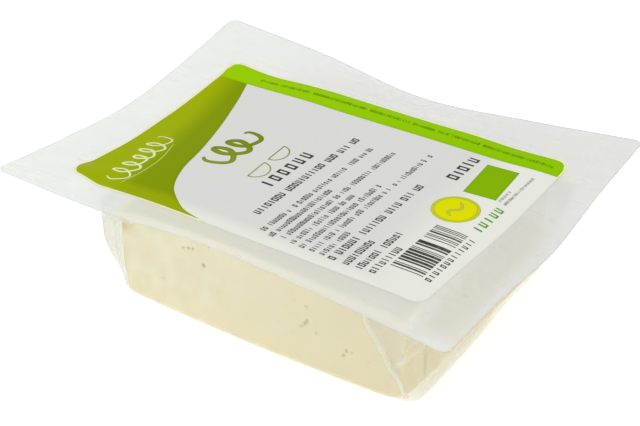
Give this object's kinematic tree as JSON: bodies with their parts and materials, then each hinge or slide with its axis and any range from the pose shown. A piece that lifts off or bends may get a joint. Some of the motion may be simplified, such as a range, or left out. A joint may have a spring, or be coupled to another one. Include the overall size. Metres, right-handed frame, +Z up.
{
  "type": "packed tofu block",
  "caption": "Fresh tofu block in a clear formed pocket, sealed under a milky film lid whose wide curled flange stands out round it, with a printed paper label on top.",
  "frame": {"origin": "under the middle of the flange, at the level of the pocket's flat foot", "axes": "+X along the pack, from the wide end of the flange to the end where the block lies; +Y from the front, where the block is close to the rim, to the back; +Z up"},
  "size_m": [0.15, 0.113, 0.0323],
  "materials": {
    "tofu_in_clear_film": "cream tofu, moist and faintly pored, seen through thin clear film with slack webs and pleats",
    "milky_film": "soft translucent laminate, satin, faintly wrinkled",
    "printed_label": "coated label paper printed in two greens and dark grey, satin"
  },
  "bodies": {
    "root": {"filled_pocket": "tofu_in_clear_film", "lid_film": "milky_film", "label": "printed_label"}
  },
  "joints": []
}
